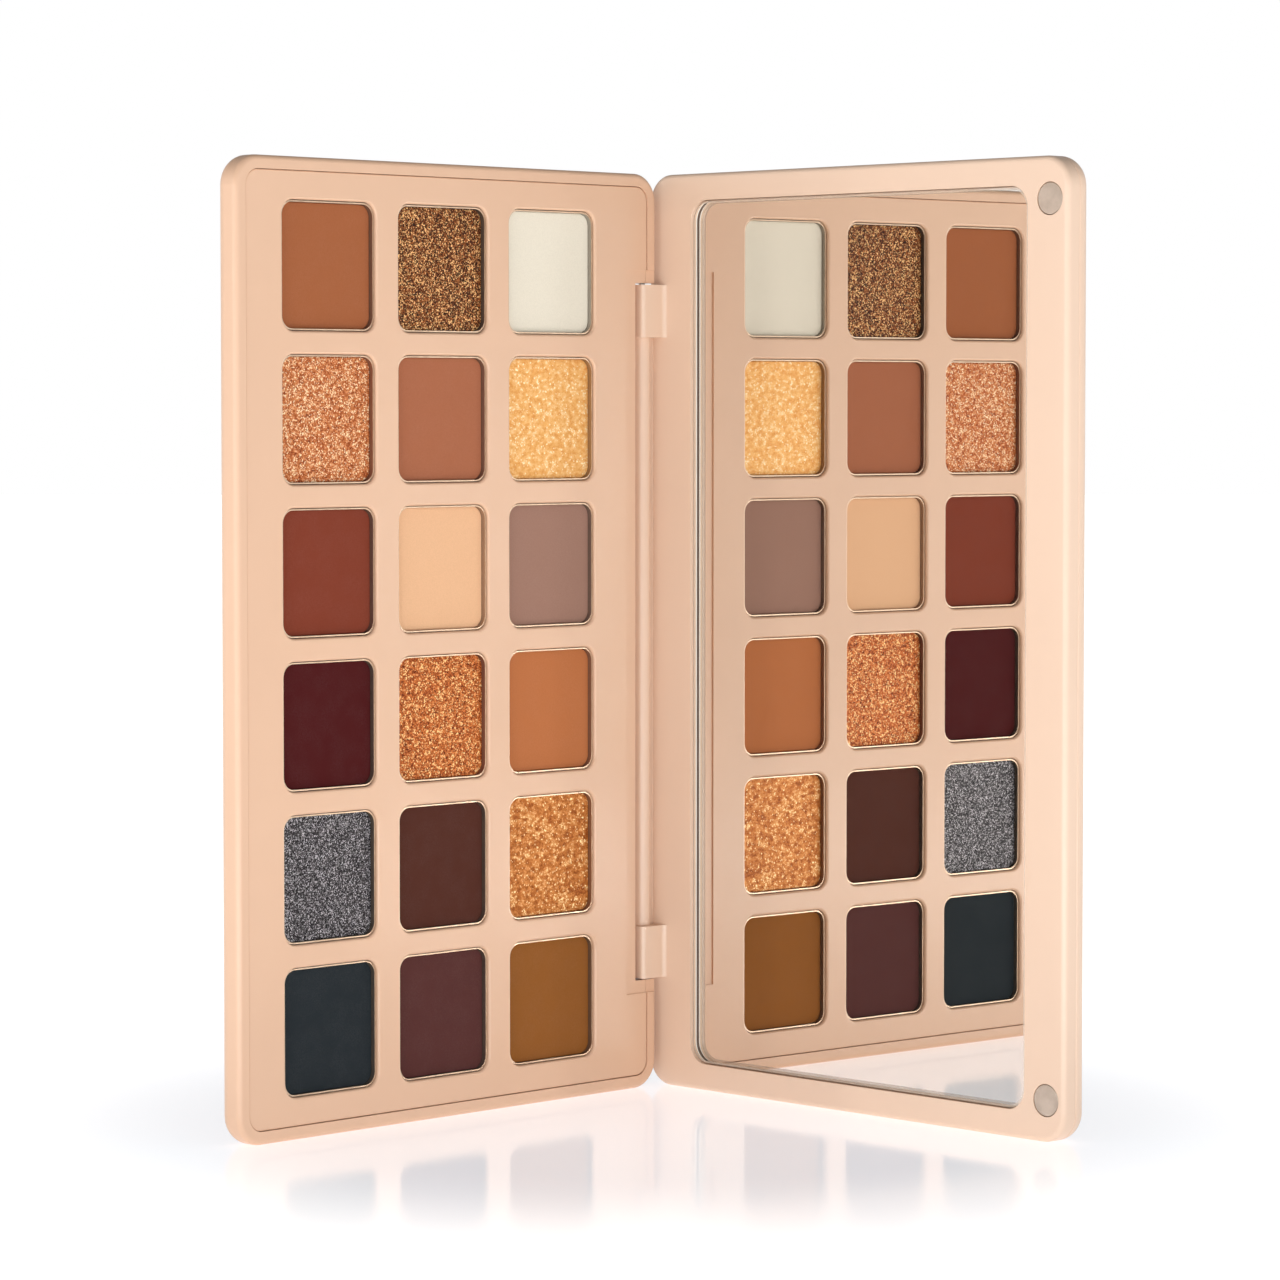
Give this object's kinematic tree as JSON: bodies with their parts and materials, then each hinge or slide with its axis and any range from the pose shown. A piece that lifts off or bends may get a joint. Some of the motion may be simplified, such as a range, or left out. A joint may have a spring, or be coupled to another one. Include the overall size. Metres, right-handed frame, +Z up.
{
  "type": "eyeshadow palette",
  "caption": "Slim hinged makeup palette standing open like a book: square pans of pressed powder in the base, a mirror and closing magnets in the lid.",
  "frame": {"origin": "on the surface the palette stands on, under the middle of the overall bounding box", "axes": "+Z up along the hinge; the two halves open towards -Y, the base with the powders on the -X side and the lid with the mirror on the +X side"},
  "size_m": [0.1566, 0.0856, 0.18],
  "materials": {
    "case_plastic": "satin moulded plastic, peach",
    "glue": "cured adhesive, cloudy white",
    "steel": "bright drawn steel",
    "nickel": "nickel-plated magnet",
    "tinplate": "bright pressed tinplate",
    "mirror": "back-silvered glass with a ground bevel",
    "caramel_matte": "pressed powder, matte",
    "bronze_glitter": "pressed glitter, coarse sparkle",
    "ivory_matte": "pressed powder, matte",
    "copper_shimmer": "pressed powder, metallic shimmer",
    "terracotta_matte": "pressed powder, matte",
    "gold_foil": "pressed powder, metallic foil",
    "brick_matte": "pressed powder, matte",
    "peach_matte": "pressed powder, matte",
    "taupe_matte": "pressed powder, matte",
    "burgundy_matte": "pressed powder, matte",
    "copper_glitter": "pressed glitter, coarse sparkle",
    "tan_matte": "pressed powder, matte",
    "charcoal_glitter": "pressed glitter, coarse sparkle",
    "chocolate_matte": "pressed powder, matte",
    "bronze_foil": "pressed powder, metallic foil",
    "ink_matte": "pressed powder, matte",
    "plum_matte": "pressed powder, matte",
    "olive_brown_matte": "pressed powder, matte"
  },
  "bodies": {
    "base": {"base_shell": "case_plastic", "base_tray": "case_plastic", "pan_glue": "glue", "keeper_lower": "steel", "keeper_upper": "steel", "hinge_pin_lower": "steel", "hinge_pin_upper": "steel", "pan_r1c1": "tinplate", "pan_r1c2": "tinplate", "pan_r1c3": "tinplate", "pan_r2c1": "tinplate", "pan_r2c2": "tinplate", "pan_r2c3": "tinplate", "pan_r3c1": "tinplate", "pan_r3c2": "tinplate", "pan_r3c3": "tinplate", "pan_r4c1": "tinplate", "pan_r4c2": "tinplate", "pan_r4c3": "tinplate", "pan_r5c1": "tinplate", "pan_r5c2": "tinplate", "pan_r5c3": "tinplate", "pan_r6c1": "tinplate", "pan_r6c2": "tinplate", "pan_r6c3": "tinplate", "powder_r1c1": "caramel_matte", "powder_r1c2": "bronze_glitter", "powder_r1c3": "ivory_matte", "powder_r2c1": "copper_shimmer", "powder_r2c2": "terracotta_matte", "powder_r2c3": "gold_foil", "powder_r3c1": "brick_matte", "powder_r3c2": "peach_matte", "powder_r3c3": "taupe_matte", "powder_r4c1": "burgundy_matte", "powder_r4c2": "copper_glitter", "powder_r4c3": "tan_matte", "powder_r5c1": "charcoal_glitter", "powder_r5c2": "chocolate_matte", "powder_r5c3": "bronze_foil", "powder_r6c1": "ink_matte", "powder_r6c2": "plum_matte", "powder_r6c3": "olive_brown_matte"},
    "lid": {"lid_frame": "case_plastic", "lid_cover": "case_plastic", "mirror": "mirror", "mirror_glue": "glue", "lid_magnet_lower": "nickel", "lid_magnet_upper": "nickel"}
  },
  "joints": [
    {"name": "lid_hinge", "type": "hinge", "parent": "base", "child": "lid", "pos_m": [-0.00248, 0.0363, 0.09], "axis": [0, 0, 1], "range_deg": [-88, 92]}
  ]
}
